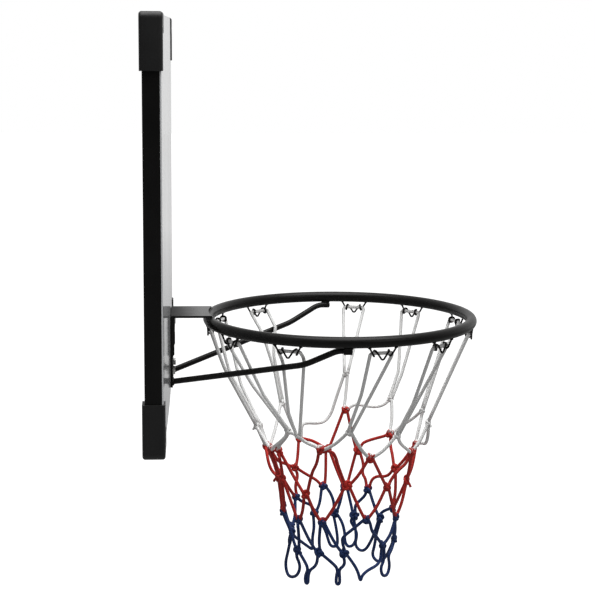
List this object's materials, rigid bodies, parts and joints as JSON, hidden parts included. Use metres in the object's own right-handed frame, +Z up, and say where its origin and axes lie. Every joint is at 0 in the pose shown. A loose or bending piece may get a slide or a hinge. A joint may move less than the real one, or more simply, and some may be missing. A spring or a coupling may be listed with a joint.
{
  "type": "basketball backboard",
  "caption": "Wall-hung basketball backboard: crowned panel in a tube frame with corner caps, fixed ring on a bolted bracket with rod struts, and a cord net on wire hooks.",
  "frame": {"origin": "middle of the four wall bolts, on the plane of the corner caps' back faces, which is the wall", "axes": "+X out of the wall towards the ring, +Y along the board's width, +Z up"},
  "size_m": [0.5361, 0.9072, 0.9225],
  "materials": {
    "panel": "pale, satin gloss",
    "frame": "black powder coat",
    "cap": "black moulded plastic",
    "rim": "black powder coat",
    "fastener": "zinc plated",
    "net_white": "braided cord",
    "net_red": "braided cord",
    "net_blue": "braided cord"
  },
  "bodies": {
    "board": {"backboard_panel": "panel", "frame_top": "frame", "frame_bottom": "frame", "frame_left": "frame", "frame_right": "frame", "rear_upright_left": "frame", "rear_upright_right": "frame", "corner_cap_top_left": "cap", "corner_cap_top_right": "cap", "corner_cap_bottom_left": "cap", "corner_cap_bottom_right": "cap", "rim_bracket": "rim", "rim_ring": "rim", "strut_left": "rim", "strut_right": "rim", "net_hooks": "rim", "wall_bolt_sleeves": "fastener", "panel_screws": "fastener", "rim_bolts": "fastener", "rim_washers": "fastener", "rim_nuts": "fastener"},
    "net": {"net_loops": "net_white", "net_white_knots": "net_white", "net_white_cords": "net_white", "net_red_knots": "net_red", "net_red_cords": "net_red", "net_blue_knots": "net_blue", "net_blue_cords": "net_blue"}
  },
  "joints": [
    {"name": "net_sway", "type": "hinge", "parent": "board", "child": "net", "pos_m": [0.3111, 0, -0.199], "axis": [0, 1, 0], "range_deg": [-15, 15], "deforming": ["net_loops"]}
  ]
}
